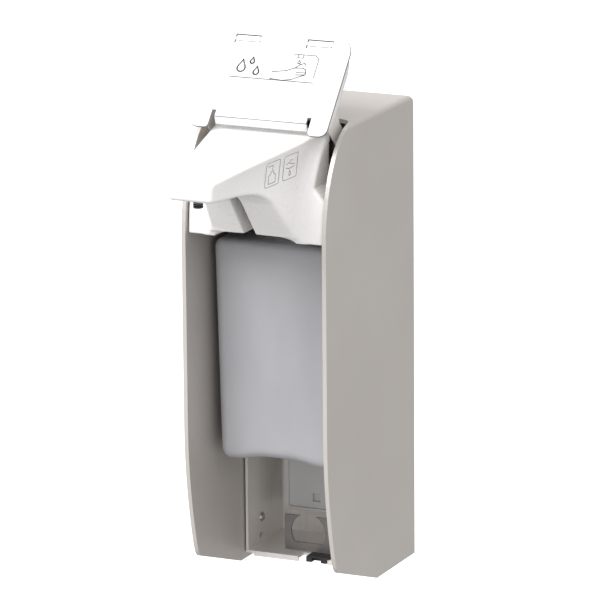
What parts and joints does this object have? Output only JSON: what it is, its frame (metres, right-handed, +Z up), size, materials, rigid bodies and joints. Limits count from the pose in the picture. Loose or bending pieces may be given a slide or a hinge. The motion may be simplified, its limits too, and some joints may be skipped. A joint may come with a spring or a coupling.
{
  "type": "wall mounted soap dispenser",
  "caption": "Tall wall soap dispenser with open-fronted metal housing, white nosed hood, hanging refill bottle, hinged front flap and a motor driven pump",
  "frame": {"origin": "centre of the wall screw pattern on the back face of the chassis", "axes": "+X to the right as seen from the front, +Y into the wall, +Z up"},
  "size_m": [0.11, 0.2505, 0.3962],
  "materials": {
    "housing_aluminium": "fine satin anodised, warm grey",
    "stainless_sheet": "brushed sheet",
    "black_plastic": "moulded, matt",
    "zinc_steel": "bright zinc plate",
    "pale_grey_plastic": "fine moulded texture",
    "cell_jacket": "plain printed jacket",
    "spring_steel": "nickel plated",
    "dark_grey_plastic": "glass filled, matt",
    "polished_steel": "ground and polished",
    "circuit_board": "solder mask",
    "white_gloss_plastic": "glossy white",
    "sensor_lens": "infrared window, near black",
    "light_diffuser": "frosted",
    "white_painted_steel": "smooth white powder coat",
    "black_rubber": "matt",
    "ivory_plastic": "acetal",
    "brass": "turned",
    "bottle_plastic": "translucent, satin",
    "dark_metal": "dark plated"
  },
  "bodies": {
    "frame": {"housing": "housing_aluminium", "chassis": "stainless_sheet", "upright_bracket": "stainless_sheet", "drain_clip": "black_plastic", "panel_bushes": "zinc_steel", "chassis_screws": "zinc_steel", "battery_box": "pale_grey_plastic", "battery_cells": "cell_jacket", "battery_contacts": "spring_steel", "drive_frame": "dark_grey_plastic", "frame_screws": "zinc_steel", "guide_rods": "polished_steel", "motor": "zinc_steel", "motor_screws": "zinc_steel", "gear_axle": "polished_steel", "control_board": "circuit_board", "board_parts": "black_plastic", "board_screws": "zinc_steel", "hood": "white_gloss_plastic", "hood_screws": "zinc_steel", "sensor_boards": "circuit_board", "sensor_lenses": "sensor_lens", "status_light": "light_diffuser", "neck_clip": "pale_grey_plastic", "pivot_pins": "polished_steel", "pivot_washers": "black_plastic"},
    "cover": {"battery_cover": "pale_grey_plastic"},
    "flap": {"flap_plate": "white_painted_steel", "flap_arms": "stainless_sheet"},
    "yoke": {"press_yoke": "dark_grey_plastic", "press_pad": "black_rubber"},
    "gear": {"drive_gear": "ivory_plastic"},
    "rotor": {"motor_shaft": "polished_steel", "motor_pinion": "brass"},
    "refill": {"bottle": "bottle_plastic", "pump_collar": "white_gloss_plastic", "pump_cylinder": "bottle_plastic", "dip_tube": "bottle_plastic", "valve_ball": "polished_steel"},
    "plunger": {"pump_spring": "spring_steel", "pump_piston": "dark_grey_plastic", "pump_head": "white_gloss_plastic", "spout": "polished_steel", "nozzle": "dark_metal"}
  },
  "joints": [
    {"name": "flap_tilt", "type": "hinge", "parent": "frame", "child": "flap", "pos_m": [0, -0.104, 0.142], "axis": [-1, 0, 0], "range_deg": [-6, 30]},
    {"name": "cover_lift", "type": "slide", "parent": "frame", "child": "cover", "axis": [0, 0, 1], "range_m": [0, 0.058]},
    {"name": "bottle_drop", "type": "slide", "parent": "frame", "child": "refill", "axis": [0, 0, -1], "range_m": [0, 0.055]},
    {"name": "pump_press", "type": "slide", "parent": "refill", "child": "plunger", "axis": [0, 0, -1], "range_m": [0, 0.01], "stiffness_N_per_m": 400, "springref_m": -0.01, "deforming": ["pump_spring"]},
    {"name": "yoke_press", "type": "slide", "parent": "frame", "child": "yoke", "axis": [0, 0, -1], "range_m": [0, 0.01]},
    {"name": "gear_turn", "type": "hinge", "parent": "frame", "child": "gear", "pos_m": [0, -0.034, 0.116], "axis": [1, 0, 0], "range_deg": [0, 96]},
    {"name": "motor_turn", "type": "hinge", "parent": "frame", "child": "rotor", "pos_m": [0, -0.01703, 0.13297], "axis": [1, 0, 0], "range_deg": [-288, 0]}
  ],
  "couplings": [
    {"joint": "pump_press", "follows": "yoke_press", "ratio": 1},
    {"joint": "gear_turn", "follows": "yoke_press", "rad_per_m": 166.67},
    {"joint": "motor_turn", "follows": "yoke_press", "rad_per_m": -500}
  ]
}
